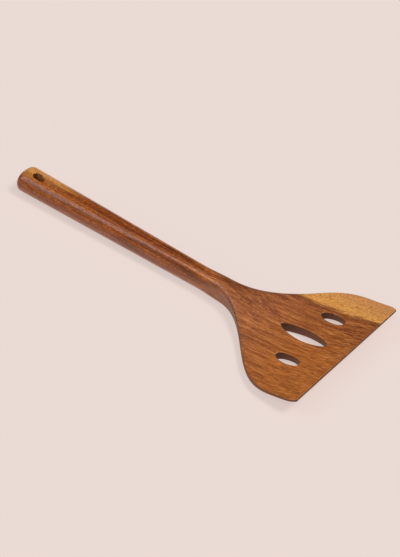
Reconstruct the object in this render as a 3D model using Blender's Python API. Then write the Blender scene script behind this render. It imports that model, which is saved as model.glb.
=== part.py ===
"""Slotted wooden spatula, carved from one board: round handle, wide wedge blade with an upturned front.

Frame: metres, +Z up. X runs along the spatula, from the handle's end to the front edge, Y across the
blade, and z = 0 is the table that the handle and the blade's heel rest on. The origin is the middle of
the spatula's length. The shape functions measure x from the handle's end, and an empty carries the
model half a length back.
"""
import math

import bmesh
import bpy
import numpy as np

# Overall, along the spatula
LENGTH = 0.300                 # handle's end to front edge
FLARE_FROM_FRONT = 0.1146      # narrowest point of the neck, back from the front edge
FLARE_LENGTH = 0.0949          # over which the neck opens out to the full blade
FLARE_SKEW = 0.982             # below 1 the neck opens a little early

# Widths
END_WIDTH = 0.0220             # handle at its end
MID_WIDTH = 0.0181             # handle halfway to the neck
NECK_WIDTH = 0.0136            # handle at the neck
FRONT_WIDTH = 0.1122           # blade at the front edge
SIDE_BELLY = 0.0020            # how far each side of the blade swells past its front corner
FRONT_DRAW_IN = 0.0072         # length over which the sides draw in to the front width
BELLY_FULLNESS = 3.0           # how late on the flare the sides start to swell past the front width

# Thicknesses
END_THICKNESS = 0.0176         # handle at its end
MID_THICKNESS = 0.0177         # handle halfway to the neck
NECK_THICKNESS = 0.0180        # handle at the neck
HEEL_THICKNESS = 0.0082        # blade where its wedge starts
FRONT_THICKNESS = 0.0022       # blade at the front edge
THINNING_FROM_FRONT = 0.1103   # where the handle's thickness starts to run down
WEDGE_LENGTH = 0.0577          # heel of the wedge to the front edge
WEDGE_FULLNESS = 1.57          # 1 is a straight wedge, more keeps wood towards the front

# Blade faces: each falls from a level strip along the middle to the sides, less towards the front edge
TOP_CROWN = 0.0015
UNDERSIDE_CROWN = 0.0023
MIDDLE_FLAT = 0.0100           # full width of the level strip

# Upturned front: the blade's underside lifts off the table along a parabola
FRONT_RISE = 0.0127
RISE_LENGTH = 0.0625

# Edges
HANDLE_FLAT = 0.0020           # narrow flat left along the top and the bottom of the handle
HANDLE_SIDE_FLAT = 0.0012      # narrow flat left along each side of the handle
ROUND_FROM_FRONT = 0.1300      # where the full round of the handle starts to flatten
SHOULDER_FROM_FRONT = 0.1100   # where it has flattened to the arch of the neck's shoulders
SHOULDER_FALL = 0.0044         # fall of that arch from the middle line to the sides
SQUARING_FROM_FRONT = 0.1098   # where the arch starts to level out into the blade
SQUARE_FROM_FRONT = 0.0470     # where the blade's own edge radius is reached
BLADE_EDGE_RADIUS = 0.0011
END_ROUNDING = 0.0046          # round over of the handle's cut end
FRONT_CORNER_RADIUS = 0.0012   # in plan, at the blade's two front corners
FRONT_EDGE_RADIUS = 0.0008     # round over of the thin front edge

# Slots: full lengths and widths at mid thickness, places from the front edge and the middle line
MIDDLE_SLOT_LENGTH = 0.0386
MIDDLE_SLOT_WIDTH = 0.0108
MIDDLE_SLOT_FROM_FRONT = 0.0373
MIDDLE_SLOT_SHAPE = 1.70       # exponent of its outline: 2 is an ellipse, less is more pointed
SIDE_SLOT_LENGTH = 0.0189
SIDE_SLOT_WIDTH = 0.0082
SIDE_SLOT_FROM_FRONT = 0.0314
SIDE_SLOT_OFFSET = 0.0255
SIDE_SLOT_SHAPE = 2.02
SLOT_RIM_RADIUS = 0.0009

# Hanging hole through the handle's end, with a scoop in the top that runs down into its front end
HOLE_LENGTH = 0.0080
HOLE_WIDTH = 0.0064
HOLE_FROM_END = 0.0146
HOLE_SHAPE = 2.20
HOLE_RIM_RADIUS = 0.0009
HOLE_SCOOP_LENGTH = 0.0055
HOLE_SCOOP_DEPTH = 0.0050

# Fineness of the mesh
CORNER_STEPS = 9
FACE_STEPS = 3                 # each side of the level strip
END_STEPS = 6
HANDLE_STEPS = 15
BLADE_STEPS = 44
FRONT_STEPS = 4
CUT_CLEARANCE = 0.004          # how far a cutter stands out of the wood

NECK_X = LENGTH - FLARE_FROM_FRONT
THIN_X = LENGTH - THINNING_FROM_FRONT
HEEL_X = LENGTH - WEDGE_LENGTH
ROUND_X = LENGTH - ROUND_FROM_FRONT
SHOULDER_X = LENGTH - SHOULDER_FROM_FRONT
SQUARING_X = LENGTH - SQUARING_FROM_FRONT
SQUARE_X = LENGTH - SQUARE_FROM_FRONT


def ease(value):
    """Smooth step from 0 to 1 with level ends."""
    u = min(max(value, 0.0), 1.0)
    return u * u * (3.0 - 2.0 * u)


def swell(value):
    """Softer step from 0 to 1 whose ends also have no curvature."""
    u = min(max(value, 0.0), 1.0)
    return u ** 3 * (u * (6.0 * u - 15.0) + 10.0)


def along_handle(at_end, at_middle, at_neck, x, reach):
    """Value on the parabola through the handle's three named stations."""
    u = min(max(x / reach, 0.0), 1.0)
    return at_end * (1.0 - u) * (1.0 - 2.0 * u) + 4.0 * at_middle * u * (1.0 - u) + at_neck * u * (2.0 * u - 1.0)


def half_width(x):
    """Plan outline: handle taper, a flare out to the front width, and the belly that swells past it."""
    handle = along_handle(END_WIDTH, MID_WIDTH, NECK_WIDTH, x, NECK_X)
    opened = swell(max(x - NECK_X, 0.0) ** FLARE_SKEW / FLARE_LENGTH ** FLARE_SKEW)
    drawn = max(x - (LENGTH - FRONT_DRAW_IN), 0.0) / FRONT_DRAW_IN
    belly = opened ** BELLY_FULLNESS * (1.0 - drawn ** 2)
    width = handle + (FRONT_WIDTH - NECK_WIDTH) * opened + 2.0 * SIDE_BELLY * belly
    return width / 2.0


def thickness(x):
    """Side view: the handle's even thickness runs down into the wedge of the blade."""
    run = min(max((x - HEEL_X) / WEDGE_LENGTH, 0.0), 1.0)
    wedge = FRONT_THICKNESS + (HEEL_THICKNESS - FRONT_THICKNESS) * (1.0 - run ** WEDGE_FULLNESS)
    handle = along_handle(END_THICKNESS, MID_THICKNESS, NECK_THICKNESS, x, THIN_X)
    return wedge + (handle - wedge) * (1.0 - ease((x - THIN_X) / (HEEL_X - THIN_X)))


def underside(x):
    """Height of the underside over the table."""
    return FRONT_RISE * (max(x - (LENGTH - RISE_LENGTH), 0.0) / RISE_LENGTH) ** 2


def crowns(x):
    """How far the blade's top and underside fall from the level strip to the sides."""
    squared = ease((x - SQUARING_X) / (SQUARE_X - SQUARING_X))
    run = min(max((x - HEEL_X) / WEDGE_LENGTH, 0.0), 1.0)
    left = squared * (1.0 - run ** 2)
    return TOP_CROWN * left, UNDERSIDE_CROWN * left


def edge_radii(x):
    """Corner radii of the section, across and upright.

    The handle is fully round. At the neck the round flattens to a low arch with crisp shoulders, and
    the arch then levels out into the blade, which keeps only a small edge radius.
    """
    flattened = ease((x - ROUND_X) / (SHOULDER_X - ROUND_X))
    squared = ease((x - SQUARING_X) / (SQUARE_X - SQUARING_X))
    half_depth = thickness(x) / 2.0
    side_depth = (thickness(x) - sum(crowns(x))) / 2.0
    round_depth = half_depth - HANDLE_SIDE_FLAT / 2.0
    arch = round_depth * (1.0 - flattened) + min(SHOULDER_FALL, 0.9 * half_depth) * flattened
    across = (half_width(x) - HANDLE_FLAT / 2.0) * (1.0 - squared) + BLADE_EDGE_RADIUS * squared
    upright = arch * (1.0 - squared) + min(BLADE_EDGE_RADIUS, 0.9 * side_depth) * squared
    return across, upright


def level_reach(x):
    """How far the level strip reaches to each side of the middle line."""
    return min(MIDDLE_FLAT / 2.0, (half_width(x) - edge_radii(x)[0]) / 2.0)


def bow(x, y):
    """Share of the crown's fall at y: the square of the way from the level strip to the side."""
    level = level_reach(x)
    return (max(abs(y) - level, 0.0) / (half_width(x) - level)) ** 2


def section(x, inset_y=0.0, inset_z=0.0):
    """Closed outline of the wood at x, as (x, y, z) points, drawn in by the given amounts."""
    across, upright = edge_radii(x)
    width = half_width(x) - inset_y
    depth = thickness(x) / 2.0 - inset_z
    across = min(max(across - inset_y, 0.2 * across), width)
    upright = min(max(upright - inset_z, 0.2 * upright), depth)
    middle = underside(x) + thickness(x) / 2.0
    top_crown, under_crown = crowns(x)
    half_face = np.linspace(level_reach(x), width - across, FACE_STEPS + 1)[:-1]
    face = [float(y) for y in half_face[::-1]] + [float(-y) for y in half_face]
    points = []
    for quarter in range(4):
        side_y = 1.0 if quarter in (0, 3) else -1.0
        side_z = 1.0 if quarter in (0, 1) else -1.0
        crown = top_crown if side_z > 0.0 else under_crown
        made = []
        for step in range(CORNER_STEPS + 1):
            turn = math.pi / 2.0 * (quarter + step / CORNER_STEPS)
            made.append((side_y * (width - across) + across * math.cos(turn),
                         side_z * (depth - upright) + upright * math.sin(turn)))
        if quarter in (0, 2):
            made += [(side_y * y, side_z * depth) for y in face]
        points += [(x, y, middle + z - side_z * crown * bow(x, y)) for y, z in made]
    return points


def surface_height(x, y, upper):
    """Height of the top or the underside of the wood over a point of the plan."""
    across, upright = edge_radii(x)
    top_crown, under_crown = crowns(x)
    beyond = min(max((abs(y) - (half_width(x) - across)) / across, 0.0), 1.0)
    fall = upright * (1.0 - math.sqrt(1.0 - beyond * beyond))
    if upper:
        return underside(x) + thickness(x) - fall - top_crown * bow(x, y)
    return underside(x) + fall + under_crown * bow(x, y)


def skin(name, rings, collection):
    """Closed solid through rings that have the same number of points, with flat ends."""
    bm = bmesh.new()
    loops = [[bm.verts.new(point) for point in ring] for ring in rings]
    count = len(loops[0])
    for first, second in zip(loops, loops[1:]):
        for i in range(count):
            j = (i + 1) % count
            bm.faces.new((first[i], first[j], second[j], second[i]))
    bm.faces.new(loops[0])
    bm.faces.new(loops[-1])
    bmesh.ops.recalc_face_normals(bm, faces=bm.faces)
    mesh = bpy.data.meshes.new(name)
    bm.to_mesh(mesh)
    bm.free()
    obj = bpy.data.objects.new(name, mesh)
    collection.objects.link(obj)
    return obj


def body_rings():
    """Sections from the rounded handle end, through handle, neck and blade, to the front edge."""
    end_round = min(END_ROUNDING, 0.45 * END_WIDTH, 0.45 * END_THICKNESS)
    edge_round = min(FRONT_EDGE_RADIUS, 0.4 * FRONT_THICKNESS)
    rings = []
    for step in range(END_STEPS):
        turn = math.pi / 2.0 * step / END_STEPS
        inset = end_round * (1.0 - math.sin(turn))
        rings.append(section(end_round * (1.0 - math.cos(turn)), inset, inset))
    blade_start = min(ROUND_X, NECK_X)
    for x in np.linspace(end_round, blade_start, HANDLE_STEPS, endpoint=False):
        rings.append(section(float(x)))
    for x in np.linspace(blade_start, LENGTH - FRONT_CORNER_RADIUS, BLADE_STEPS):
        rings.append(section(float(x)))
    for step in range(1, FRONT_STEPS + 1):
        turn = math.pi / 2.0 * step / FRONT_STEPS
        x = LENGTH - FRONT_CORNER_RADIUS * (1.0 - math.sin(turn))
        past = min(max(x - (LENGTH - edge_round), 0.0), edge_round)
        inset_y = FRONT_CORNER_RADIUS * (1.0 - math.cos(turn))
        inset_z = edge_round - math.sqrt(edge_round ** 2 - past ** 2)
        rings.append(section(x, inset_y, inset_z))
    return rings


def outline(length, width, shape, steps):
    """Rounded lens outline: points and outward normals, centred on the origin."""
    points = []
    for step in range(steps):
        turn = 2.0 * math.pi * step / steps
        c, s = math.cos(turn), math.sin(turn)
        u = math.copysign(abs(c) ** (2.0 / shape), c)
        v = math.copysign(abs(s) ** (2.0 / shape), s)
        nx = math.copysign(abs(u) ** (shape - 1.0), u) / length
        ny = math.copysign(abs(v) ** (shape - 1.0), v) / width
        size = math.hypot(nx, ny)
        points.append((u * length / 2.0, v * width / 2.0, nx / size, ny / size))
    return points


def slot_cutter(name, centre, size, shape, rim, steps, collection, scoop=(0.0, 0.0)):
    """Cutter for a through slot whose rims roll over onto the top and the underside of the wood.

    Each roll is a quarter ellipse. A scoop lengthens and deepens the top's roll at the slot's front
    end, fading round to nothing at its sides.
    """
    points = outline(size[0], size[1], shape, steps)

    def ring(roll, upper, clear=0.0):
        made = []
        for x, y, nx, ny in points:
            front = max(nx, 0.0) ** 2 if upper else 0.0
            offset = (rim + scoop[0] * front) * (1.0 - math.sin(roll))
            sunk = (rim + scoop[1] * front) * (1.0 - math.cos(roll)) - clear
            px = centre[0] + x + offset * nx
            py = centre[1] + y + offset * ny
            level = surface_height(px, py, upper)
            made.append((px, py, level - sunk if upper else level + sunk))
        return made

    rolls = [math.radians(angle) for angle in (22.0, 45.0, 68.0, 90.0)]
    rings = [ring(0.0, True, CUT_CLEARANCE)]
    rings += [ring(roll, True) for roll in rolls]
    rings += [ring(roll, False) for roll in reversed(rolls)]
    rings.append(ring(0.0, False, CUT_CLEARANCE))
    cutter = skin(name, rings, collection)
    cutter.hide_render = True
    cutter.display_type = 'WIRE'
    return cutter


def oiled_wood():
    """Reddish brown oiled hardwood."""
    material = bpy.data.materials.new("oiled hardwood")
    material.use_nodes = True
    shader = material.node_tree.nodes["Principled BSDF"]
    shader.inputs["Base Color"].default_value = (0.230, 0.085, 0.030, 1.0)
    shader.inputs["Roughness"].default_value = 0.42
    shader.inputs["Metallic"].default_value = 0.0
    material.diffuse_color = (0.230, 0.085, 0.030, 1.0)
    return material


def build():
    """Model the spatula and cut its slots and its hanging hole."""
    for obj in list(bpy.data.objects):
        bpy.data.objects.remove(obj, do_unlink=True)
    parts = bpy.data.collections.new("slotted spatula")
    cutters = bpy.data.collections.new("cutters")
    bpy.context.scene.collection.children.link(parts)
    bpy.context.scene.collection.children.link(cutters)

    middle = bpy.data.objects.new("middle of the spatula", None)
    middle.location = (-LENGTH / 2.0, 0.0, 0.0)
    parts.objects.link(middle)

    spatula = skin("spatula", body_rings(), parts)
    spatula.parent = middle
    spatula.data.materials.append(oiled_wood())

    side_x = LENGTH - SIDE_SLOT_FROM_FRONT
    side_size = (SIDE_SLOT_LENGTH, SIDE_SLOT_WIDTH)
    cuts = [
        slot_cutter("middle slot", (LENGTH - MIDDLE_SLOT_FROM_FRONT, 0.0),
                    (MIDDLE_SLOT_LENGTH, MIDDLE_SLOT_WIDTH), MIDDLE_SLOT_SHAPE, SLOT_RIM_RADIUS, 52, cutters),
        slot_cutter("left slot", (side_x, SIDE_SLOT_OFFSET),
                    side_size, SIDE_SLOT_SHAPE, SLOT_RIM_RADIUS, 36, cutters),
        slot_cutter("right slot", (side_x, -SIDE_SLOT_OFFSET),
                    side_size, SIDE_SLOT_SHAPE, SLOT_RIM_RADIUS, 36, cutters),
        slot_cutter("hanging hole", (HOLE_FROM_END, 0.0),
                    (HOLE_LENGTH, HOLE_WIDTH), HOLE_SHAPE, HOLE_RIM_RADIUS, 40, cutters,
                    (HOLE_SCOOP_LENGTH, HOLE_SCOOP_DEPTH)),
    ]
    for cutter in cuts:
        cutter.parent = middle
        cut = spatula.modifiers.new(cutter.name, 'BOOLEAN')
        cut.operation = 'DIFFERENCE'
        cut.solver = 'EXACT'
        cut.object = cutter
    spatula.data.shade_smooth()
    spatula.data.set_sharp_from_angle(angle=math.radians(40.0))


build()
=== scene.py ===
"""Slotted wooden spatula, dressed for the studio.

One board of oiled hardwood: a round tapering handle with a hanging hole, a flared neck, and a wide
wedge blade with three through slots and an upturned front. The wood is one closed numpy surface, in
metres, +Z up, X along the spatula and z = 0 on the table. Shape functions measure x from the handle's
end, and the finished mesh is carried half a length back, to the frame's origin.
"""
import logging
import math
from dataclasses import dataclass, field
from enum import Enum
from typing import Any

import bpy
import numpy as np
from mathutils import Matrix, Vector

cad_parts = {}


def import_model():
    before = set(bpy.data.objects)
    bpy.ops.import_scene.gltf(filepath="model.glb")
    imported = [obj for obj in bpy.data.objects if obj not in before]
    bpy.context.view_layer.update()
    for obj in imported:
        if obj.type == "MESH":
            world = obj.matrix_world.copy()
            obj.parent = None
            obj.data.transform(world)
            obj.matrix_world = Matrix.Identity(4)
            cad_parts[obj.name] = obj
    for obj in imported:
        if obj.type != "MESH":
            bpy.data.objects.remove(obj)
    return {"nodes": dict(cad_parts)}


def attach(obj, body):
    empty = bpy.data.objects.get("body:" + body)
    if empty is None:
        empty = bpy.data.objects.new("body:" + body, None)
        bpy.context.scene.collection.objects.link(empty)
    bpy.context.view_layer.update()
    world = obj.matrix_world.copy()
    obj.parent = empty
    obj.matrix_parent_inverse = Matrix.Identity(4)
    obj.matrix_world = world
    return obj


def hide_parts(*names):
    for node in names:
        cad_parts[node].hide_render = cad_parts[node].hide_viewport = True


frame: dict[str, Any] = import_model()

log = logging.getLogger("slotted spatula")
Array = np.ndarray
Colour = tuple[float, float, float, float]
# First and last row, then first and last column, of a stretch of the mesh's grid
Patch = tuple[int, int, int, int]
Socket = bpy.types.NodeSocket
Value = float | Socket


class Face(Enum):
    """The two broad faces of the carved board, with the side of the middle plane each lies on."""

    TOP = 1.0
    UNDERSIDE = -1.0


def ease(value: Array) -> Array:
    """Smooth step from 0 to 1 with level ends: u squared times (3 - 2u)."""
    u = np.clip(value, 0.0, 1.0)
    return u * u * (3.0 - 2.0 * u)


def swell(value: Array) -> Array:
    """Softer step whose ends have no curvature: u cubed times (6u squared - 15u + 10)."""
    u = np.clip(value, 0.0, 1.0)
    return u ** 3 * (u * (6.0 * u - 15.0) + 10.0)


@dataclass(frozen=True)
class Opening:
    """A through opening whose outline is a rounded lens and whose rims roll onto both faces.

    Sizes are in metres: the centre's x is from the handle's end, length runs along the spatula, and
    fullness is the exponent of the outline, 2 for an ellipse and less for pointed ends. The margins are
    the room round the opening in which the mesh turns towards it. A scoop lengthens and deepens the
    top's roll at the opening's front end.
    """

    name: str
    centre_x: float
    centre_y: float
    length: float
    width: float
    fullness: float
    margin_x: float
    margin_y: float
    rim_radius: float = 0.0009
    scoop_length: float = 0.0
    scoop_depth: float = 0.0

    def lip(self, bearing: Array, roll: Array | float, face: Face) -> tuple[Array, Array, Array]:
        """Points on the rolled rim of one face.

        The outline's point at bearing b is (cos b, sin b) times (|cos b|^p + |sin b|^p)^(-1/p),
        stretched to half the length and half the width, and its normal is the gradient of
        |u|^p + |v|^p. The rim is a quarter ellipse along that normal: at roll r it stands
        reach (1 - sin r) out of the outline and depth (1 - cos r) below the face.

        Args:
            bearing: angles about the centre, in the stretched plane.
            roll: how far the rim has rolled down, from 0 on the face to a quarter turn on the wall.
            face: the top, which may have a scoop, or the underside.

        Returns:
            x and y of the points, and how deep they lie below the face.
        """
        c, s, p = np.cos(bearing), np.sin(bearing), self.fullness
        reach = (np.abs(c) ** p + np.abs(s) ** p) ** (-1.0 / p)
        u, v = c * reach, s * reach
        nx = np.sign(u) * np.abs(u) ** (p - 1.0) / self.length
        ny = np.sign(v) * np.abs(v) ** (p - 1.0) / self.width
        size = np.hypot(nx, ny)
        front = np.maximum(nx / size, 0.0) ** 2 if face is Face.TOP else 0.0
        out = (self.rim_radius + self.scoop_length * front) * (1.0 - np.sin(roll))
        deep = (self.rim_radius + self.scoop_depth * front) * (1.0 - np.cos(roll))
        x = self.centre_x + u * self.length / 2.0 + out * nx / size
        y = self.centre_y + v * self.width / 2.0 + out * ny / size
        return x, y, deep


@dataclass(frozen=True)
class Carving:
    """Sizes of the carved board, in metres, and the functions that give its shape.

    A size "from front" is measured back from the front edge. The most and the least rounding limit an
    edge radius: to a share of the half depth, and, in the rounded ends, to a share of itself.
    """

    length: float = 0.300
    flare_from_front: float = 0.1146
    flare_length: float = 0.0949
    flare_skew: float = 0.982
    end_width: float = 0.0220
    mid_width: float = 0.0181
    neck_width: float = 0.0136
    front_width: float = 0.1122
    side_belly: float = 0.0020
    front_draw_in: float = 0.0072
    belly_fullness: float = 3.0
    end_thickness: float = 0.0176
    mid_thickness: float = 0.0177
    neck_thickness: float = 0.0180
    heel_thickness: float = 0.0082
    front_thickness: float = 0.0022
    thinning_from_front: float = 0.1103
    wedge_length: float = 0.0577
    wedge_fullness: float = 1.57
    top_crown: float = 0.0015
    underside_crown: float = 0.0023
    middle_flat: float = 0.0100
    front_rise: float = 0.0127
    rise_length: float = 0.0625
    handle_flat: float = 0.0020
    handle_side_flat: float = 0.0012
    round_from_front: float = 0.1300
    shoulder_from_front: float = 0.1100
    shoulder_fall: float = 0.0044
    squaring_from_front: float = 0.1098
    square_from_front: float = 0.0470
    blade_edge_radius: float = 0.0011
    end_rounding: float = 0.0046
    front_corner_radius: float = 0.0012
    front_edge_radius: float = 0.0008
    most_rounding: float = 0.9
    least_rounding: float = 0.2

    @staticmethod
    def along_handle(at_end: float, at_middle: float, at_neck: float, x: Array, reach: float) -> Array:
        """Parabola through the handle's three stations at x = 0, half the reach and the reach."""
        u = np.clip(x / reach, 0.0, 1.0)
        return (at_end * (1.0 - u) * (1.0 - 2.0 * u) + 4.0 * at_middle * u * (1.0 - u)
                + at_neck * u * (2.0 * u - 1.0))

    def eased(self, x: Array, start_from_front: float, end_from_front: float) -> Array:
        """Smooth step between two places that are measured back from the front edge."""
        start, end = self.length - start_from_front, self.length - end_from_front
        return ease((x - start) / (end - start))

    def wedge_run(self, x: Array) -> Array:
        """Share of the way from the wedge's heel to the front edge."""
        return np.clip((x - (self.length - self.wedge_length)) / self.wedge_length, 0.0, 1.0)

    def half_width(self, x: Array) -> Array:
        """Half the width of the plan outline.

        The width is the handle's parabola, plus the flare from the neck's width to the front's times
        the share opened, plus twice the side belly times that share to the power of its fullness. The
        share opened is the swell of (way past the neck / flare length) to the power of the skew. Over
        the draw-in, the last stretch before the front edge, the belly dies out with 1 - u squared.

        Args:
            x: places along the spatula.

        Returns:
            Half the width at each of them.
        """
        neck = self.length - self.flare_from_front
        handle = self.along_handle(self.end_width, self.mid_width, self.neck_width, x, neck)
        run = np.maximum(x - neck, 0.0) ** self.flare_skew / self.flare_length ** self.flare_skew
        opened = swell(run)
        drawn = np.maximum(x - (self.length - self.front_draw_in), 0.0) / self.front_draw_in
        belly = opened ** self.belly_fullness * (1.0 - drawn ** 2)
        flare = (self.front_width - self.neck_width) * opened
        return (handle + flare + 2.0 * self.side_belly * belly) / 2.0

    def thickness(self, x: Array) -> Array:
        """Thickness of the board in the side view.

        The wedge is the front thickness, plus the rest of the heel's thickness times
        (1 - run to the power of the fullness). The handle's parabola eases down into it, from where
        the thinning starts to the wedge's heel.

        Args:
            x: places along the spatula.

        Returns:
            The thickness at each of them.
        """
        extra = self.heel_thickness - self.front_thickness
        wedge = self.front_thickness + extra * (1.0 - self.wedge_run(x) ** self.wedge_fullness)
        reach = self.length - self.thinning_from_front
        handle = self.along_handle(self.end_thickness, self.mid_thickness, self.neck_thickness, x, reach)
        thinned = self.eased(x, self.thinning_from_front, self.wedge_length)
        return wedge + (handle - wedge) * (1.0 - thinned)

    def underside(self, x: Array) -> Array:
        """Height of the underside over the table: level, then a parabola up to the front edge."""
        run = np.maximum(x - (self.length - self.rise_length), 0.0) / self.rise_length
        return self.front_rise * run ** 2

    def crowns(self, x: Array) -> tuple[Array, Array]:
        """How far the blade's top and underside fall from the level strip to the sides.

        Both grow as the section squares, and die out with 1 - run squared towards the front edge.

        Args:
            x: places along the spatula.

        Returns:
            The fall of the top and of the underside.
        """
        squared = self.eased(x, self.squaring_from_front, self.square_from_front)
        left = squared * (1.0 - self.wedge_run(x) ** 2)
        return self.top_crown * left, self.underside_crown * left

    def bow(self, x: Array, y: Array) -> Array:
        """Share of the crown's fall: the square of the way from the level strip to the side.

        Args:
            x: places along the spatula.
            y: places across it.

        Returns:
            The share, from 0 on the level strip to 1 at the side.
        """
        width = self.half_width(x)
        level = np.minimum(self.middle_flat / 2.0, (width - self.edge_radii(x)[0]) / 2.0)
        return (np.maximum(np.abs(y) - level, 0.0) / (width - level)) ** 2

    def edge_radii(self, x: Array) -> tuple[Array, Array]:
        """Corner radii of the section, across and upright.

        The handle is fully round. At the neck the round flattens to a low arch with crisp shoulders,
        and the arch then levels out into the blade, which keeps only a small edge radius.

        Args:
            x: places along the spatula.

        Returns:
            The radii of the section's corner ellipses, across and upright.
        """
        flattened = self.eased(x, self.round_from_front, self.shoulder_from_front)
        squared = self.eased(x, self.squaring_from_front, self.square_from_front)
        half_depth = self.thickness(x) / 2.0
        side_depth = (self.thickness(x) - sum(self.crowns(x))) / 2.0
        round_depth = half_depth - self.handle_side_flat / 2.0
        shoulder = np.minimum(self.shoulder_fall, self.most_rounding * half_depth)
        blade_edge = np.minimum(self.blade_edge_radius, self.most_rounding * side_depth)
        arch = round_depth * (1.0 - flattened) + shoulder * flattened
        handle = self.half_width(x) - self.handle_flat / 2.0
        across = handle * (1.0 - squared) + self.blade_edge_radius * squared
        upright = arch * (1.0 - squared) + blade_edge * squared
        return across, upright

    def level(self, x: Array, y: Array, face: Face,
              inset: Array | float = 0.0, sunk: Array | float = 0.0) -> Array:
        """Height of one face of the wood over points of the plan.

        The section is a rectangle with quarter-ellipse corners and crowned faces. A face stands half
        the depth from the middle plane, less the crown's share at y and the fall of its corner
        ellipse: upright times (1 - sqrt(1 - t squared)), where t runs from 0 to 1 across the corner.

        Args:
            x: places along the spatula.
            y: places across it.
            face: the top or the underside.
            inset: how far the section is drawn in at its sides, for the rounded ends.
            sunk: how far it is drawn in at its top and underside.

        Returns:
            The height of each point.
        """
        across, upright = self.edge_radii(x)
        width = self.half_width(x) - inset
        depth = self.thickness(x) / 2.0 - sunk
        across = np.minimum(np.maximum(across - inset, self.least_rounding * across), width)
        upright = np.minimum(np.maximum(upright - sunk, self.least_rounding * upright), depth)
        corner = np.clip((np.abs(y) - (width - across)) / across, 0.0, 1.0)
        crown = self.crowns(x)[0 if face is Face.TOP else 1]
        fall = upright * (1.0 - np.sqrt(1.0 - corner ** 2)) + crown * self.bow(x, y)
        return self.underside(x) + self.thickness(x) / 2.0 + face.value * (depth - fall)


@dataclass(frozen=True)
class Cloud:
    """A cloudy pattern.

    Along and across are its features to a metre, with the fibres and across them. The detail is how
    many finer layers it has, and the roughness is how strong these are.
    """

    along: float
    across: float
    detail: float
    roughness: float = 0.5


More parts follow.
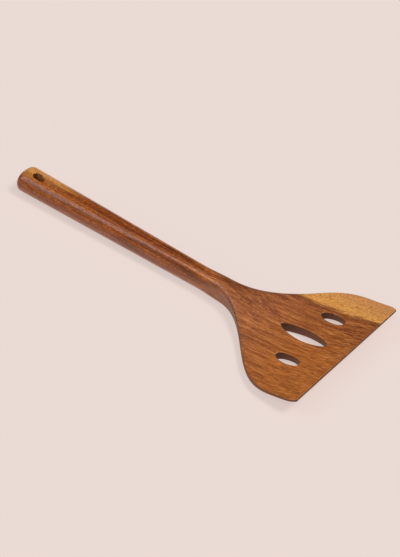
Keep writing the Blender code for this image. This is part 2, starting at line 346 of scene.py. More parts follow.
class NodeBench:
    """Lays out and joins the nodes of one material, or of the world.

    A Mix node has slots for every kind of value. The two constants are those for colours: its share
    and the two colours that go in, and the colour that comes out.
    """

    MIX_INPUTS: tuple[int, int, int] = (0, 6, 7)
    MIX_RESULT: int = 2

    def __init__(self, owner: bpy.types.Material | bpy.types.World) -> None:
        """Start on an empty node tree.

        Args:
            owner: the material or the world that the nodes are for.
        """
        owner.use_nodes = True
        self.tree = owner.node_tree
        self.tree.nodes.clear()

    def add(self, kind: str, **settings: Any) -> bpy.types.Node:
        """Add a node.

        Args:
            kind: Blender's name for this kind of node.
            settings: the node's own settings by name, such as a Math node's operation.

        Returns:
            The new node.
        """
        node = self.tree.nodes.new(kind)
        for name, value in settings.items():
            setattr(node, name, value)
        return node

    def feed(self, node: bpy.types.Node, slot: int | str, value: Any) -> None:
        """Give an input a plain value, or link it where the value is a socket.

        Args:
            node: the node that has the input.
            slot: the input's number or its name.
            value: the plain value or the socket.
        """
        if isinstance(value, Socket):
            self.tree.links.new(value, node.inputs[slot])
        else:
            node.inputs[slot].default_value = value

    def math(self, operation: str, first: Value, second: Value = 0.0, third: Value = 0.0,
             clamp: bool = False) -> Socket:
        """Work something out with a Math node, from up to three numbers or sockets.

        Args:
            operation: Blender's name for what the node does.
            first: the first value.
            second: the second value.
            third: the third value.
            clamp: whether the result is held between 0 and 1.

        Returns:
            The result.
        """
        node = self.add("ShaderNodeMath", operation=operation, use_clamp=clamp)
        for slot, value in enumerate((first, second, third)):
            self.feed(node, slot, value)
        return node.outputs[0]

    def times(self, first: Value, *others: Value) -> Socket:
        """Multiply all the values.

        Args:
            first: the first value.
            others: the rest of them.

        Returns:
            Their product.
        """
        for other in others:
            first = self.math("MULTIPLY", first, other)
        return first

    def less(self, first: Value, second: Value) -> Socket:
        """The first value less the second."""
        return self.math("SUBTRACT", first, second)

    def swing(self, cloud: Socket, share: float, middle: Value) -> Socket:
        """The middle value, pushed up and down by a share of a cloud that lies about a half."""
        return self.math("MULTIPLY_ADD", self.less(cloud, 0.5), share, middle)

    def past(self, value: Socket, start: float, over: float) -> Socket:
        """Share from 0 to 1 that a value has gone from a start, over a reach that may be negative."""
        return self.math("DIVIDE", self.less(value, start), over, clamp=True)

    def near(self, value: Socket, middle: float, reach: float) -> Socket:
        """Share that falls in a straight line from 1 at the middle to 0 at the reach."""
        away = self.math("DIVIDE", self.math("ABSOLUTE", self.less(value, middle)), reach)
        return self.math("SUBTRACT", 1.0, away, clamp=True)

    def split(self, vector: Socket) -> tuple[Socket, Socket, Socket]:
        """Take a vector apart.

        Args:
            vector: the vector.

        Returns:
            Its x, y and z.
        """
        node = self.add("ShaderNodeSeparateXYZ")
        self.feed(node, 0, vector)
        return tuple(node.outputs)

    def noise(self, vector: Socket, cloud: Cloud) -> Socket:
        """Lay a cloudy pattern over some coordinates.

        Args:
            vector: the coordinates, in metres.
            cloud: the pattern's sizes.

        Returns:
            The pattern's value, from 0 to 1.
        """
        mapping = self.add("ShaderNodeMapping")
        self.feed(mapping, "Vector", vector)
        self.feed(mapping, "Scale", (cloud.along, cloud.across, cloud.across))
        noise = self.add("ShaderNodeTexNoise")
        self.feed(noise, "Vector", mapping.outputs[0])
        self.feed(noise, "Scale", 1.0)
        self.feed(noise, "Detail", cloud.detail)
        self.feed(noise, "Roughness", cloud.roughness)
        return noise.outputs["Fac"]

    def ramp(self, value: Socket, *stops: tuple[float, Colour]) -> Socket:
        """Turn a value into a colour, along a ramp.

        Args:
            value: where the ramp is read.
            stops: places on the ramp from 0 to 1, each with its colour.

        Returns:
            The ramp's colour at the value.
        """
        node = self.add("ShaderNodeValToRGB")
        band = node.color_ramp
        while len(band.elements) < len(stops):
            band.elements.new(0.5)
        for element, (place, colour) in zip(band.elements, stops):
            element.position = place
            element.color = colour
        self.feed(node, 0, value)
        return node.outputs[0]

    def curve(self, value: Socket, points: tuple[tuple[float, float], ...],
              low: tuple[float, float], high: tuple[float, float]) -> Socket:
        """A smooth line through points, read at a value.

        Args:
            value: the x to read it at.
            points: x and y of the points, in order of x.
            low: the least x and y that the line holds.
            high: the greatest x and y that it holds.

        Returns:
            The line's y.
        """
        wide, tall = high[0] - low[0], high[1] - low[1]
        node = self.add("ShaderNodeFloatCurve")
        line = node.mapping.curves[0]
        while len(line.points) < len(points):
            line.points.new(0.5, 0.5)
        for point, (x, y) in zip(line.points, points):
            point.location = (x - low[0]) / wide, (y - low[1]) / tall
            point.handle_type = "AUTO_CLAMPED"
        node.mapping.update()
        self.feed(node, "Value", self.math("DIVIDE", self.less(value, low[0]), wide))
        return self.math("MULTIPLY_ADD", node.outputs[0], tall, low[1])

    def mix(self, share: Value, first: Socket | Colour, second: Socket | Colour) -> Socket:
        """Mix two colours.

        Args:
            share: how much of the second colour there is, from 0 to 1.
            first: the first colour.
            second: the second colour.

        Returns:
            The mixed colour.
        """
        node = self.add("ShaderNodeMix", data_type="RGBA")
        for slot, value in zip(self.MIX_INPUTS, (share, first, second)):
            self.feed(node, slot, value)
        return node.outputs[self.MIX_RESULT]

    def blend(self, share: Value, first: Socket, second: Socket) -> Socket:
        """Mix two shaders.

        Args:
            share: how much of the second shader there is, from 0 to 1.
            first: the first shader.
            second: the second shader.

        Returns:
            The mixed shader.
        """
        node = self.add("ShaderNodeMixShader")
        for slot, value in enumerate((share, first, second)):
            self.feed(node, slot, value)
        return node.outputs[0]


@dataclass(frozen=True)
class OiledHardwood:
    """Reddish brown hardwood, oiled to a satin sheen, with a strip of golden sapwood along one side.

    Lengths and places are in metres, in the frame. A "from" and an "over" say where something sets in
    and the length over which it comes in.
    """

    # Heartwood of the blade and of the redder handle, from its dark to its light fibres
    dark: Colour = (0.120, 0.024, 0.004, 1.0)
    brown: Colour = (0.355, 0.093, 0.017, 1.0)
    light: Colour = (0.625, 0.220, 0.052, 1.0)
    tone_stops: tuple[float, float, float] = (0.10, 0.50, 0.90)
    handle_dark: Colour = (0.070, 0.012, 0.002, 1.0)
    handle_brown: Colour = (0.255, 0.047, 0.003, 1.0)
    handle_light: Colour = (0.560, 0.160, 0.014, 1.0)
    handle_stops: tuple[float, float, float] = (0.02, 0.50, 0.98)
    handle_mottle: float = 0.45
    handle_from: float = 0.050
    handle_over: float = 0.040

    # A painted pinkish sheen on the heel, a warmer near front corner, and painted shade on the far side
    # of the neck that leans with x
    heel_sheen_paint: Colour = (0.270, 0.110, 0.080, 1.0)
    heel_sheen_paint_share: float = 0.20
    heel_x: float = 0.070
    heel_reach: float = 0.045
    warm: Colour = (0.760, 0.230, 0.020, 1.0)
    warm_share: float = 0.19
    warm_from: tuple[float, float] = (0.085, 0.018)
    warm_over: tuple[float, float] = (0.045, 0.036)
    # Painted shade on the far side of the neck and the heel
    neck_shade: float = 0.62
    neck_shade_x: float = 0.042
    neck_shade_reach: float = 0.038
    neck_shade_slope: float = 0.24
    neck_shade_from: float = 0.008
    neck_shade_over: float = 0.004

    # Sapwood, browner at the blade's rim, and the dark band of heartwood beside it
    sap: Colour = (0.930, 0.430, 0.104, 1.0)
    sap_shade: Colour = (0.580, 0.215, 0.042, 1.0)
    sap_stops: tuple[float, float] = (0.25, 0.75)
    sap_tone_share: float = 0.35
    sap_speck_share: float = 1.3
    sap_rim: Colour = (0.520, 0.200, 0.095, 1.0)
    sap_rim_share: float = 0.55
    sap_rim_from: float = 0.040
    sap_rim_over: float = 0.019
    sap_band_share: float = 0.50
    sap_band_width: float = 0.006

    # Edge of the sapwood: its line over the plan, its lean, its fraying, and how softly it turns
    sap_edge: tuple[tuple[float, float], ...] = (
        (-0.150, -0.0030), (-0.138, -0.0030), (-0.126, 0.0000), (-0.113, 0.0008), (-0.100, 0.0030),
        (-0.086, 0.0060), (-0.070, 0.0300), (0.060, 0.0240), (0.077, 0.0246), (0.083, 0.0256),
        (0.090, 0.0270), (0.102, 0.0278), (0.110, 0.0295), (0.126, 0.0316), (0.133, 0.0333),
        (0.150, 0.0362))
    sap_edge_low: tuple[float, float] = (-0.150, -0.010)
    sap_edge_high: tuple[float, float] = (0.150, 0.050)
    sap_leans_from: float = 0.0176
    sap_tilt: float = 0.5
    sap_fray: float = 0.007
    sap_softness: float = 0.0026
    handle_sap_softness: float = 0.0040
    handle_sap_fade: float = 0.15
    handle_sap_ends: float = -0.126
    handle_sap_over: float = 0.040

    # Fibres: they drift over the blade and wander; growth rings lie about a pith under the board
    bend_from: float = 0.030
    bend_slope: float = 0.12
    wander: Cloud = Cloud(9.0, 30.0, 2.0)
    wander_reach: float = 0.010
    pith_y: float = -0.120
    pith_z: float = -0.100
    ring_spacing: float = 0.0065
    ring_share: float = 0.06
    ring_drift: Cloud = Cloud(9.0, 60.0, 3.0)
    ring_drift_phase: float = 9.0

    # Figure along the fibres, from broad bands to fine lines, flecks, specks and open pores
    bands: Cloud = Cloud(9.0, 66.0, 2.0)
    band_share: float = 0.32
    streaks: Cloud = Cloud(24.0, 290.0, 3.0, 0.6)
    streak_share: float = 0.45
    lines: Cloud = Cloud(20.0, 820.0, 1.0, 0.6)
    line_share: float = 1.20
    flecks: Cloud = Cloud(420.0, 1150.0, 1.0)
    fleck_share: float = 0.62
    specks: Cloud = Cloud(700.0, 1100.0, 1.0)
    vessels: Cloud = Cloud(170.0, 1500.0, 1.0)
    pore_from: float = 0.61
    pore_over: float = 0.1111
    pore_shade: float = 0.65

    # Cuts across the fibres: darker partly from the oil they take up, partly painted shade in the
    # slots and the hole. End grain, and upright walls by how level they face
    cut_oil_and_shade: Colour = (0.165, 0.044, 0.010, 1.0)
    cut_deep_oil_and_shade: Colour = (0.016, 0.004, 0.001, 1.0)
    cut_roughness: float = 0.45
    end_grain_shade: float = 0.90
    end_grain_from: float = 0.2273
    end_grain_over: float = 0.4545
    ahead_over: float = 0.7143
    upright_from: float = 0.95
    upright_over: float = 0.3333
    cut_side_shade: float = 0.95
    cut_side_from: float = 0.035
    cut_side_over: float = 0.035
    hole_x: float = -0.1354
    hole_reach: tuple[float, float] = (0.0052, 0.0044)
    hole_shade_over: float = 0.010

    # Gloss and relief
    roughness: float = 0.30
    line_roughness: float = 0.24
    sheen_level: float = 0.90
    sheen_colour: Colour = (1.0, 0.53, 0.30, 1.0)
    oil_film: float = 0.38
    oil_roughness: float = 0.20
    relief_share: float = 0.5
    relief_height: float = 0.0003
    pore_depth: float = 0.8

    def material(self) -> bpy.types.Material:
        """Build the wood's material.

        Returns:
            The material, ready to be put on a mesh.
        """
        material = bpy.data.materials.new("oiled hardwood")
        WoodPainter(self, material).paint()
        return material


class WoodPainter:
    """Draws an oiled hardwood as the nodes of one material.

    It keeps the sockets that its parts share: the plain coordinates, the coordinates along the fibres,
    the fine lines and flecks, and the share by which a point belongs to the handle.
    """

    def __init__(self, wood: OiledHardwood, material: bpy.types.Material) -> None:
        """Start with the coordinates and the finest figure.

        Args:
            wood: the finish that is drawn.
            material: the material that gets its nodes.
        """
        self.wood = wood
        self.bench = bench = NodeBench(material)
        spot = bench.add("ShaderNodeTexCoord").outputs
        self.place, self.normal = spot["Object"], spot["Normal"]
        self.along, self.across, self.height = bench.split(self.place)
        self.drawn = self.drawn_across()
        fibres = bench.add("ShaderNodeCombineXYZ")
        for slot, value in enumerate((self.along, self.drawn, self.height)):
            bench.feed(fibres, slot, value)
        self.fibres = fibres.outputs[0]
        self.line = bench.noise(self.fibres, wood.lines)
        self.fleck = bench.noise(self.fibres, wood.flecks)
        self.on_handle = bench.past(self.along, wood.handle_from, -wood.handle_over)

    def paint(self) -> None:
        """Join the colours, the gloss and the relief into the material's shader."""
        wood, bench = self.wood, self.bench
        pores = bench.past(bench.noise(self.fibres, wood.vessels), wood.pore_from, wood.pore_over)
        tone, past_edge = self.tone(), self.past_sap_edge()
        colour = bench.mix(self.sap_share(past_edge), self.heartwood(tone, past_edge), self.sapwood(tone))
        colour = bench.mix(bench.times(pores, wood.pore_shade), colour, wood.dark)
        # End grain and cut walls darkened, partly from the oil they take up and partly painted shade in
        # the slots and the hole
        end, side, ahead = self.cut_and_shade_shares()
        colour = bench.mix(end, colour, wood.dark)
        colour = bench.mix(side, colour, bench.mix(ahead, wood.cut_oil_and_shade, wood.cut_deep_oil_and_shade))
        gloss = bench.swing(self.line, wood.line_roughness, wood.roughness)
        gloss = bench.math("MULTIPLY_ADD", side, wood.cut_roughness, gloss)

        bump = bench.add("ShaderNodeBump")
        bench.feed(bump, "Strength", wood.relief_share)
        bench.feed(bump, "Distance", wood.relief_height)
        bench.feed(bump, "Height", bench.less(self.line, bench.times(pores, wood.pore_depth)))
        shader = bench.add("ShaderNodeBsdfPrincipled")
        bench.feed(shader, "Base Color", colour)
        bench.feed(shader, "Roughness", gloss)
        bench.feed(shader, "Specular IOR Level", wood.sheen_level)
        bench.feed(shader, "Specular Tint", wood.sheen_colour)
        bench.feed(shader, "Coat Weight", wood.oil_film)
        bench.feed(shader, "Coat Roughness", wood.oil_roughness)
        bench.feed(shader, "Normal", bump.outputs[0])
        bench.feed(bench.add("ShaderNodeOutputMaterial"), "Surface", shader.outputs[0])

    def drawn_across(self) -> Socket:
        """Find the fibre that a point lies on.

        Fibres run straight down the handle and drift to the far side over the blade: the fibre's y is
        the point's y, less the bend's slope times the way past the start of the bend, with a little
        wander added everywhere.

        Returns:
            The fibre's y.
        """
        wood, bench = self.wood, self.bench
        bend = bench.math("MAXIMUM", bench.less(self.along, wood.bend_from), 0.0)
        straight = bench.math("MULTIPLY_ADD", bend, -wood.bend_slope, self.across)
        return bench.swing(bench.noise(self.place, wood.wander), wood.wander_reach, straight)

    def tone(self) -> Socket:
        """Lights and darks of the wood.

        Growth rings are a sine of the distance from the pith line, its phase pushed about by a long
        cloud. Broad bands, streaks, fine lines and flecks are added to them.

        Returns:
            The tone, which lies about a half and is lower where the wood is darker.
        """
        wood, bench = self.wood, self.bench
        from_y, from_z = bench.less(self.drawn, wood.pith_y), bench.less(self.height, wood.pith_z)
        squares = bench.math("MULTIPLY_ADD", from_y, from_y, bench.times(from_z, from_z))
        turns = bench.times(bench.math("SQRT", squares), 2.0 * math.pi / wood.ring_spacing)
        phase = bench.swing(bench.noise(self.fibres, wood.ring_drift), wood.ring_drift_phase, turns)
        tone = bench.math("MULTIPLY_ADD", bench.math("SINE", phase), wood.ring_share, 0.5)
        tone = bench.swing(bench.noise(self.fibres, wood.bands), wood.band_share, tone)
        tone = bench.swing(bench.noise(self.fibres, wood.streaks), wood.streak_share, tone)
        tone = bench.swing(self.line, wood.line_share, tone)
        return bench.swing(self.fleck, wood.fleck_share, tone)

    def heartwood(self, tone: Socket, past_edge: Socket) -> Socket:
        """Colour of the heartwood.

        The blade's wood is darker in a band beside the sapwood, has a painted pinkish sheen at the heel
        and is warmer towards the near front corner. The handle's wood is redder and more mottled, and the
        far side of the neck has painted shade.

        Args:
            tone: the lights and darks.
            past_edge: the distance past the sapwood's edge.

        Returns:
            The colour.
        """
        wood, bench = self.wood, self.bench
        heart = bench.ramp(tone, *zip(wood.tone_stops, (wood.dark, wood.brown, wood.light)))
        in_band = bench.past(past_edge, -wood.sap_band_width, wood.sap_band_width)
        heart = bench.mix(bench.times(in_band, wood.sap_band_share), heart, wood.dark)
        # Painted pinkish sheen on the heel, standing in for a reflection of the light
        at_heel = bench.near(self.along, wood.heel_x, wood.heel_reach)
        heart = bench.mix(bench.times(at_heel, wood.heel_sheen_paint_share), heart, wood.heel_sheen_paint)
        to_front = bench.past(self.along, wood.warm_from[0], wood.warm_over[0])
        to_near_side = bench.past(self.across, wood.warm_from[1], -wood.warm_over[1])
        heart = bench.mix(bench.times(to_front, to_near_side, wood.warm_share), heart, wood.warm)

        mottled = bench.swing(self.fleck, wood.handle_mottle, tone)
        handle_colours = (wood.handle_dark, wood.handle_brown, wood.handle_light)
        red = bench.ramp(mottled, *zip(wood.handle_stops, handle_colours))
        heart = bench.mix(self.on_handle, heart, red)
        # Painted shade on the far side of the neck, its edge leaning towards the near side further along
        at_neck = bench.near(self.along, wood.neck_shade_x, wood.neck_shade_reach)
        leaning = bench.math("MULTIPLY_ADD", self.along, wood.neck_shade_slope, self.across)
        to_far_side = bench.past(leaning, wood.neck_shade_from, wood.neck_shade_over)
        return bench.mix(bench.times(at_neck, to_far_side, wood.neck_shade), heart, wood.handle_dark)

    def sapwood(self, tone: Socket) -> Socket:
        """Colour of the sapwood: speckled, with less of the heartwood's tone, and browner at the rim.

        Args:
            tone: the lights and darks.

        Returns:
            The colour.
        """
        wood, bench = self.wood, self.bench
        weaker = bench.math("MULTIPLY_ADD", tone, wood.sap_tone_share, (1.0 - wood.sap_tone_share) / 2.0)
        speckled = bench.swing(bench.noise(self.fibres, wood.specks), wood.sap_speck_share, weaker)
        pale = bench.ramp(speckled, *zip(wood.sap_stops, (wood.sap_shade, wood.sap)))
        at_rim = bench.past(self.across, wood.sap_rim_from, wood.sap_rim_over)
        return bench.mix(bench.times(at_rim, wood.sap_rim_share), pale, wood.sap_rim)

    def past_sap_edge(self) -> Socket:
        """How far a point lies past the sapwood's edge.

        The edge follows its line over the plan, leans over with the height, and is frayed by the fine
        lines.

        Returns:
            The distance in metres, above zero in the sapwood.
        """
        wood, bench = self.wood, self.bench
        edge = bench.curve(self.along, wood.sap_edge, wood.sap_edge_low, wood.sap_edge_high)
        raised = bench.less(self.height, wood.sap_leans_from)
        leaning = bench.math("MULTIPLY_ADD", raised, wood.sap_tilt, bench.less(self.across, edge))
        return bench.swing(self.line, wood.sap_fray, leaning)

    def sap_share(self, past_edge: Socket) -> Socket:
        """Share of sapwood at a point: it turns softly at the edge, and fades along the handle.

        Args:
            past_edge: the distance past the sapwood's edge.

        Returns:
            The share, from 0 to 1.
        """
        wood, bench = self.wood, self.bench
        softness = bench.math("MULTIPLY_ADD", self.on_handle, wood.handle_sap_softness, wood.sap_softness)
        share = bench.math("ADD", bench.math("DIVIDE", past_edge, softness), 0.5, clamp=True)
        faded = bench.past(self.along, wood.handle_sap_ends, wood.handle_sap_over)
        faded = bench.times(bench.math("MAXIMUM", faded, wood.handle_sap_fade), self.on_handle)
        return bench.times(share, bench.less(1.0, faded))

    def cut_and_shade_shares(self) -> tuple[Socket, Socket, Socket]:
        """Shares of darkening of cuts across the fibres: partly oil taken up, partly painted shade.

        The handle's end and the front edge face along the fibres: their share grows with the normal's
        x squared. The blade's sides, the slots' walls and the back of the hole's wall have a share
        that grows as they stand upright, and they are deeper where they face the front. On these walls,
        and most in the slots and the hole, the darkening is partly painted shade.

        Returns:
            The share of end grain, the share of cut sides, and how far a cut faces the front, each
            from 0 to 1.
        """
        wood, bench = self.wood, self.bench
        facing_x, _, facing_z = bench.split(self.normal)
        end = bench.past(bench.times(facing_x, facing_x), wood.end_grain_from, wood.end_grain_over)
        ahead = bench.past(facing_x, 0.0, wood.ahead_over)
        upright = bench.past(bench.math("ABSOLUTE", facing_z), wood.upright_from, -wood.upright_over)
        on_blade = bench.past(self.along, wood.cut_side_from, wood.cut_side_over)
        # Painted shade on the back of the hole's wall, where little light reaches
        shaded_hole_back = bench.past(self.along, wood.hole_x, -wood.hole_shade_over)
        off_x = bench.math("ABSOLUTE", bench.less(self.along, wood.hole_x))
        off_y = bench.math("ABSOLUTE", self.across)
        in_hole = bench.times(bench.math("LESS_THAN", off_x, wood.hole_reach[0]),
                              bench.math("LESS_THAN", off_y, wood.hole_reach[1]))
        cut_through = bench.math("MAXIMUM", on_blade, bench.times(in_hole, shaded_hole_back))
        side = bench.times(upright, cut_through, wood.cut_side_shade)
        return bench.times(end, wood.end_grain_shade), side, ahead


@dataclass
class Spatula:
    """The whole carved piece: one closed surface, cut through by its openings.

    The steps and rows say how fine the mesh is. Its rows are closest in the rounded ends, and each
    stretch between them has rows of its own: up to the end of the hole, up to the start of the blade,
    and the blade.
    """

    carving: Carving = field(default_factory=Carving)
    finish: OiledHardwood = field(default_factory=OiledHardwood)
    openings: tuple[Opening, ...] = (
        Opening("middle slot", centre_x=0.2627, centre_y=0.0, length=0.0386, width=0.0108,
                fullness=1.70, margin_x=0.0042, margin_y=0.0045),
        Opening("left slot", centre_x=0.2686, centre_y=0.0255, length=0.0189, width=0.0082,
                fullness=2.02, margin_x=0.0038, margin_y=0.0036),
        Opening("right slot", centre_x=0.2686, centre_y=-0.0255, length=0.0189, width=0.0082,
                fullness=2.02, margin_x=0.0038, margin_y=0.0036),
        Opening("hanging hole", centre_x=0.0146, centre_y=0.0, length=0.0080, width=0.0064,
                fullness=2.20, margin_x=0.0034, margin_y=0.0030,
                scoop_length=0.0055, scoop_depth=0.0050))
    end_steps: int = 10
    hole_end: float = 0.034
    hole_rows: int = 38
    blade_start: float = 0.176
    handle_rows: int = 60
    blade_rows: int = 136
    columns: int = 145
    middle_closeness: float = 0.35
    rim_steps: int = 6
    wall_steps: int = 5
    collar_steps: int = 5

    def stations(self) -> tuple[Array, Array, Array]:
        """Places of the sections along the spatula, close where the form turns fast.

        The handle's end and the front corners are quarter circles: at turn t the section lies
        r (1 - cos t) in from the end and is drawn in by r (1 - sin t). The front edge is drawn in
        upright as well, by its own small circle.

        Returns:
            x, the inset at the sides, and the inset at the top and underside, one of each a section.
        """
        c = self.carving
        quarter = np.linspace(0.0, math.pi / 2.0, self.end_steps + 1)
        turn, front_turn = quarter[:-1], quarter[1:]
        end_x = c.end_rounding * (1.0 - np.cos(turn))
        end_inset = c.end_rounding * (1.0 - np.sin(turn))
        front_x = c.length - c.front_corner_radius * (1.0 - np.sin(front_turn))
        front_inset = c.front_corner_radius * (1.0 - np.cos(front_turn))
        past = np.clip(front_x - (c.length - c.front_edge_radius), 0.0, c.front_edge_radius)
        front_sunk = c.front_edge_radius - np.sqrt(c.front_edge_radius ** 2 - past ** 2)
        run = np.concatenate([
            np.linspace(c.end_rounding, self.hole_end, self.hole_rows)[:-1],
            np.linspace(self.hole_end, self.blade_start, self.handle_rows)[:-1],
            np.linspace(self.blade_start, c.length - c.front_corner_radius, self.blade_rows)])
        x = np.concatenate([end_x, run, front_x])
        inset = np.concatenate([end_inset, np.zeros_like(run), front_inset])
        sunk = np.concatenate([end_inset, np.zeros_like(run), front_sunk])
        return x, inset, sunk

    def across(self) -> Array:
        """Places of the columns across the spatula.

        A column's place is the sine of a quarter turn times v, where v runs from -1 to 1 and is drawn
        together about the middle line by a share of sin(pi v) over pi.

        Returns:
            The places as shares of the half width.
        """
        v = np.linspace(-1.0, 1.0, self.columns)
        v = v - self.middle_closeness * np.sin(math.pi * v) / math.pi
        return np.sin(math.pi / 2.0 * v)

    def patch(self, opening: Opening, x: Array, share: Array) -> Patch:
        """Find the stretch of the grid that an opening takes out, with its margin round it.

        Args:
            opening: the opening.
            x: places of the grid's rows.
            share: places of its columns, as shares of the half width.

        Returns:
            The first and the last row, then the first and the last column.
        """
        back_x = opening.length / 2.0 + opening.margin_x
        front_x = back_x + opening.scoop_length
        reach_y = opening.width / 2.0 + opening.margin_y
        width = float(self.carving.half_width(np.array(opening.centre_x)))
        first_row = int(np.abs(x - (opening.centre_x - back_x)).argmin())
        last_row = int(np.abs(x - (opening.centre_x + front_x)).argmin())
        first_column = int(np.abs(share * width - (opening.centre_y - reach_y)).argmin())
        last_column = int(np.abs(share * width - (opening.centre_y + reach_y)).argmin())
        return first_row, last_row, first_column, last_column

    @staticmethod
    def rim_of(patch: Patch) -> tuple[Array, Array]:
        """Walk once round a patch's border, turning from x to y.

        Args:
            patch: the stretch of the grid.

        Returns:
            The row and the column of each point on the border.
        """
        r0, r1, c0, c1 = patch
        rows = np.concatenate([
            np.arange(r0, r1), np.full(c1 - c0, r1), np.arange(r1, r0, -1), np.full(c1 - c0, r0)])
        columns = np.concatenate([
            np.full(r1 - r0, c0), np.arange(c0, c1), np.full(r1 - r0, c1), np.arange(c1, c0, -1)])
        return rows, columns

    def throat(self, opening: Opening, border_x: Array, border_y: Array) -> Array:
        """Rings of points from the top border of a patch, down through the opening, to the underside.

        A collar blends the border into the lip in straight steps, the rim rolls from the face into
        the hole, and the wall joins the two rims in straight lines.

        Args:
            opening: the opening.
            border_x: x of the patch's border points.
            border_y: their y.

        Returns:
            Points as (ring, place, 3), without the two borders themselves.
        """
        from_x, from_y = border_x - opening.centre_x, border_y - opening.centre_y
        half_x = np.where(from_x > 0.0, from_x.max(), -from_x.min())
        bearing = np.arctan2(from_y / np.abs(from_y).max(), from_x / half_x)
        share = np.linspace(0.0, 1.0, self.collar_steps + 1)[1:, None]
        roll = np.linspace(0.0, math.pi / 2.0, self.rim_steps + 1)[1:, None]

        def side(face: Face) -> Array:
            """Lay the collar and the rim of one face.

            Args:
                face: the top or the underside.

            Returns:
                Their points from the border inwards, as (ring, place, 3).
            """
            lip_x, lip_y, _ = opening.lip(bearing, 0.0, face)
            collar_x = border_x + (lip_x - border_x) * share
            collar_y = border_y + (lip_y - border_y) * share
            collar = np.stack([collar_x, collar_y, self.carving.level(collar_x, collar_y, face)], -1)
            roll_x, roll_y, drop = opening.lip(bearing[None, :], roll, face)
            level = self.carving.level(roll_x, roll_y, face) - face.value * drop
            return np.concatenate([collar, np.stack([roll_x, roll_y, level], -1)])

        top, under = side(Face.TOP), side(Face.UNDERSIDE)
        depth = np.linspace(0.0, 1.0, self.wall_steps + 1)[1:-1, None, None]
        wall = top[-1] + (under[-1] - top[-1]) * depth
        return np.concatenate([top, wall, under[::-1]])

    @staticmethod
    def skins(top: Array, under: Array, keep: Array) -> list[Array]:
        """Faces of the two broad sheets and of the walls that join them at their edges.

        Args:
            top: numbers of the top's points, as a grid.
            under: numbers of the underside's points, as a grid.
            keep: which cells of the grid no opening takes out.

        Returns:
            Faces of the top, the underside, the left side, the right side, the handle's end and the
            front edge.
        """
        return [
            np.stack([top[:-1, :-1], top[1:, :-1], top[1:, 1:], top[:-1, 1:]], -1)[keep],
            np.stack([under[:-1, :-1], under[:-1, 1:], under[1:, 1:], under[1:, :-1]], -1)[keep],
            np.stack([top[:-1, -1], top[1:, -1], under[1:, -1], under[:-1, -1]], -1),
            np.stack([top[:-1, 0], under[:-1, 0], under[1:, 0], top[1:, 0]], -1),
            np.stack([top[0, :-1], top[0, 1:], under[0, 1:], under[0, :-1]], -1),
            np.stack([top[-1, :-1], under[-1, :-1], under[-1, 1:], top[-1, 1:]], -1)]

    def surface(self) -> tuple[Array, Array]:
        """The whole closed surface.

        Each face is a grid of points on the stations and columns, at the carving's level. Every
        opening takes its patch out of both grids and joins their borders with its throat, and the
        points that are left over inside the patches are dropped.

        Returns:
            The points, and four-sided faces that point outwards.
        """
        c = self.carving
        x, inset, sunk = self.stations()
        share = self.across()
        rows, count = len(x), len(share)
        grid_x = np.repeat(x[:, None], count, 1)
        grid_y = (c.half_width(x) - inset)[:, None] * share
        top = np.arange(rows * count).reshape(rows, count)
        under = top + rows * count
        points = []
        for face in Face:
            level = c.level(grid_x, grid_y, face, inset[:, None], sunk[:, None])
            points.append(np.stack([grid_x, grid_y, level], -1).reshape(-1, 3))
        faces = []
        keep = np.ones((rows - 1, count - 1), bool)
        next_point = 2 * rows * count
        for opening in self.openings:
            patch = self.patch(opening, x, share)
            log.info("%s: rows %d to %d, columns %d to %d", opening.name, *patch)
            keep[patch[0]:patch[1], patch[2]:patch[3]] = False
            border = self.rim_of(patch)
            throat = self.throat(opening, grid_x[border], grid_y[border])
            rings, around = throat.shape[:2]
            inner = np.arange(rings * around).reshape(rings, around) + next_point
            next_point += rings * around
            points.append(throat.reshape(-1, 3))
            loops = np.concatenate([top[border][None], inner, under[border][None]])
            turned = np.roll(loops, -1, 1)
            faces.append(np.stack([loops[:-1], turned[:-1], turned[1:], loops[1:]], -1).reshape(-1, 4))
        all_points = np.concatenate(points)
        all_faces = np.concatenate(faces + self.skins(top, under, keep))
        used, compact = np.unique(all_faces, return_inverse=True)
        all_points = all_points[used] - np.array([c.length / 2.0, 0.0, 0.0])
        return all_points, compact.reshape(-1, 4)

    def build(self) -> bpy.types.Object:
        """Make the mesh, smooth its shading and give it the wood.

        Returns:
            The carved piece.
        """
        points, faces = self.surface()
        mesh = bpy.data.meshes.new("carved_spatula")
        mesh.vertices.add(len(points))
        mesh.vertices.foreach_set("co", points.astype(np.float32).ravel())
        mesh.loops.add(faces.size)
        mesh.loops.foreach_set("vertex_index", faces.astype(np.int32).ravel())
        mesh.polygons.add(len(faces))
        mesh.polygons.foreach_set("loop_start", np.arange(0, faces.size, 4, dtype=np.int32))
        mesh.update(calc_edges=True)
        mesh.validate()
        mesh.shade_smooth()
        mesh.materials.append(self.finish.material())
        piece = bpy.data.objects.new("carved_spatula", mesh)
        bpy.context.scene.collection.objects.link(piece)
        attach(piece, "root")
        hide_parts("spatula")
        log.info("%s: %d points, %d faces", piece.name, len(points), len(faces))
        return piece


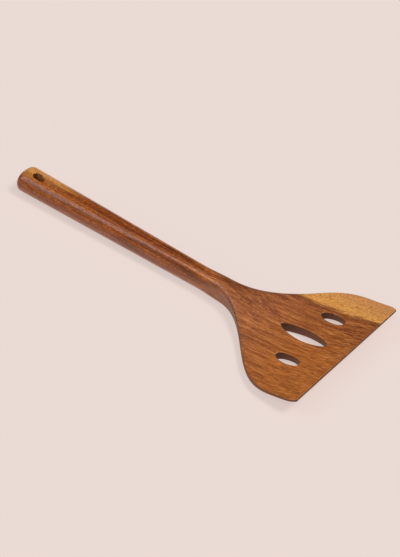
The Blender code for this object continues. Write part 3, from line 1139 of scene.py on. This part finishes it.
@dataclass(frozen=True)
class PaleFloor:
    """Matt pale pink floor that the spatula lies on.

    The camera and reflections see a share of its plain colour unshaded, which keeps the object's shadow
    on it light.
    """

    colour: Colour = (0.839, 0.708, 0.659, 1.0)
    plain_share: float = 0.71
    half_size: float = 3.0

    def build(self) -> bpy.types.Object:
        """Lay a flat sheet at z = 0.

        Returns:
            The floor.
        """
        reach = np.array([-1.0, 1.0]) * self.half_size
        x, y = np.meshgrid(reach, reach)
        corners = np.stack([x.ravel(), y.ravel(), np.zeros(4)], -1)
        mesh = bpy.data.meshes.new("floor")
        mesh.from_pydata(corners.tolist(), [], [(0, 1, 3, 2)])
        material = bpy.data.materials.new("pale floor")
        bench = NodeBench(material)
        matt, plain = bench.add("ShaderNodeBsdfDiffuse"), bench.add("ShaderNodeEmission")
        bench.feed(matt, "Color", self.colour)
        bench.feed(plain, "Color", self.colour)
        path = bench.add("ShaderNodeLightPath").outputs
        seen = bench.math("MAXIMUM", path["Is Camera Ray"], path["Is Glossy Ray"])
        both = bench.blend(bench.times(seen, self.plain_share), matt.outputs[0], plain.outputs[0])
        bench.feed(bench.add("ShaderNodeOutputMaterial"), "Surface", both)
        mesh.materials.append(material)
        floor = bpy.data.objects.new("floor", mesh)
        bpy.context.scene.collection.objects.link(floor)
        return floor


@dataclass(frozen=True)
class Lamp:
    """A soft far lamp: where it stands, seen from the spatula, how wide it looks and how strong it is.

    Angles are in degrees, and the azimuth is from +X towards +Y. The light is parallel, so the distance
    only places the lamp.
    """

    name: str
    azimuth: float
    elevation: float
    spread: float
    strength: float
    colour: tuple[float, float, float] = (1.0, 1.0, 1.0)
    distance: float = 2.0

    def build(self) -> bpy.types.Object:
        """Make the lamp and turn it towards the spatula.

        Returns:
            The lamp.
        """
        light = bpy.data.lights.new(self.name, "SUN")
        light.energy = self.strength
        light.angle = math.radians(self.spread)
        light.color = self.colour
        lamp = bpy.data.objects.new(self.name, light)
        az, el = math.radians(self.azimuth), math.radians(self.elevation)
        towards = Vector((math.cos(el) * math.cos(az), math.cos(el) * math.sin(az), math.sin(el)))
        lamp.location = towards * self.distance
        lamp.rotation_euler = towards.to_track_quat("Z", "Y").to_euler()
        bpy.context.scene.collection.objects.link(lamp)
        return lamp


@dataclass(frozen=True)
class Studio:
    """Floor, lamps, surrounding light and the camera."""

    floor: PaleFloor = field(default_factory=PaleFloor)
    lamps: tuple[Lamp, ...] = (
        Lamp("side window", azimuth=20.0, elevation=58.0, spread=18.0, strength=1.95),
        Lamp("camera softbox", azimuth=-52.0, elevation=46.0, spread=50.0, strength=0.30,
             colour=(0.84, 1.0, 1.16)),
        Lamp("fill panel", azimuth=-140.0, elevation=49.5, spread=26.0, strength=0.40,
             colour=(0.80, 1.0, 1.26)))
    surround: Colour = (1.0, 0.985, 0.975, 1.0)
    surround_strength: float = 0.45
    surround_middle: float = 0.30
    surround_rise: float = 0.55
    surround_slope: float = -0.45
    target: tuple[float, float, float] = (0.01565, 0.00561, 0.0)
    camera_turn: float = 39.894
    camera_elevation: float = 42.831
    camera_distance: float = 1.4215
    focal_pixels: float = 2000.0
    photo_height: float = 557.0
    film_height: float = 36.0
    clip: tuple[float, float] = (0.01, 20.0)

    def light(self) -> None:
        """Place the lamps, and fill the surroundings with pale light that is weaker at the back.

        The surroundings' strength in a direction is the middle share, plus the rise times the
        direction's z, plus the slope times its y, not below zero. The camera itself sees the floor's
        plain colour there.
        """
        for lamp in self.lamps:
            lamp.build()
        world = bpy.data.worlds.new("studio surround")
        bpy.context.scene.world = world
        bench = NodeBench(world)
        _, towards_y, towards_z = bench.split(bench.add("ShaderNodeTexCoord").outputs["Generated"])
        share = bench.math("MULTIPLY_ADD", towards_y, self.surround_slope, self.surround_middle)
        share = bench.math("MULTIPLY_ADD", towards_z, self.surround_rise, share)
        strength = bench.times(bench.math("MAXIMUM", share, 0.0), self.surround_strength)
        fill, plain = bench.add("ShaderNodeBackground"), bench.add("ShaderNodeBackground")
        bench.feed(fill, "Color", self.surround)
        bench.feed(fill, "Strength", strength)
        bench.feed(plain, "Color", self.floor.colour)
        to_camera = bench.add("ShaderNodeLightPath").outputs["Is Camera Ray"]
        both = bench.blend(to_camera, fill.outputs[0], plain.outputs[0])
        bench.feed(bench.add("ShaderNodeOutputWorld"), "Surface", both)

    def frame_photo(self) -> bpy.types.Object:
        """Stand the camera where the photograph was taken from.

        The camera looks at the target from the camera distance. Its horizontal bearing is the camera
        turn, measured from -Y towards +X, and its right-hand side is level. The lens is the focal
        length in pixels, brought from the photograph's height to the film's.

        Returns:
            The camera.
        """
        turn, tilt = math.radians(self.camera_turn), math.radians(self.camera_elevation)
        right = Vector((math.cos(turn), math.sin(turn), 0.0))
        back = Vector((math.cos(tilt) * math.sin(turn), -math.cos(tilt) * math.cos(turn), math.sin(tilt)))
        up = back.cross(right)
        lens = bpy.data.cameras.new("photo camera")
        lens.sensor_fit = "AUTO"
        lens.sensor_width = self.film_height
        lens.lens = self.focal_pixels * self.film_height / self.photo_height
        lens.clip_start, lens.clip_end = self.clip
        camera = bpy.data.objects.new("photo camera", lens)
        eye = Vector(self.target) + back * self.camera_distance
        camera.matrix_world = Matrix.Translation(eye) @ Matrix((right, up, back)).transposed().to_4x4()
        bpy.context.scene.collection.objects.link(camera)
        bpy.context.scene.camera = camera
        return camera

    def build(self) -> None:
        """Set the whole studio."""
        self.floor.build()
        self.light()
        self.frame_photo()
        bpy.context.scene.view_settings.view_transform = "Standard"


def corners(box: Any) -> list[list[float]]:
    """A box's two corners as plain numbers."""
    return [[float(value) for value in corner] for corner in box]


def main() -> None:
    """Build the spatula and its studio."""
    logging.basicConfig(level=logging.INFO, format="%(name)s: %(message)s")
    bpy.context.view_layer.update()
    Spatula().build()
    Studio().build()


if __name__ == "__main__":
    main()
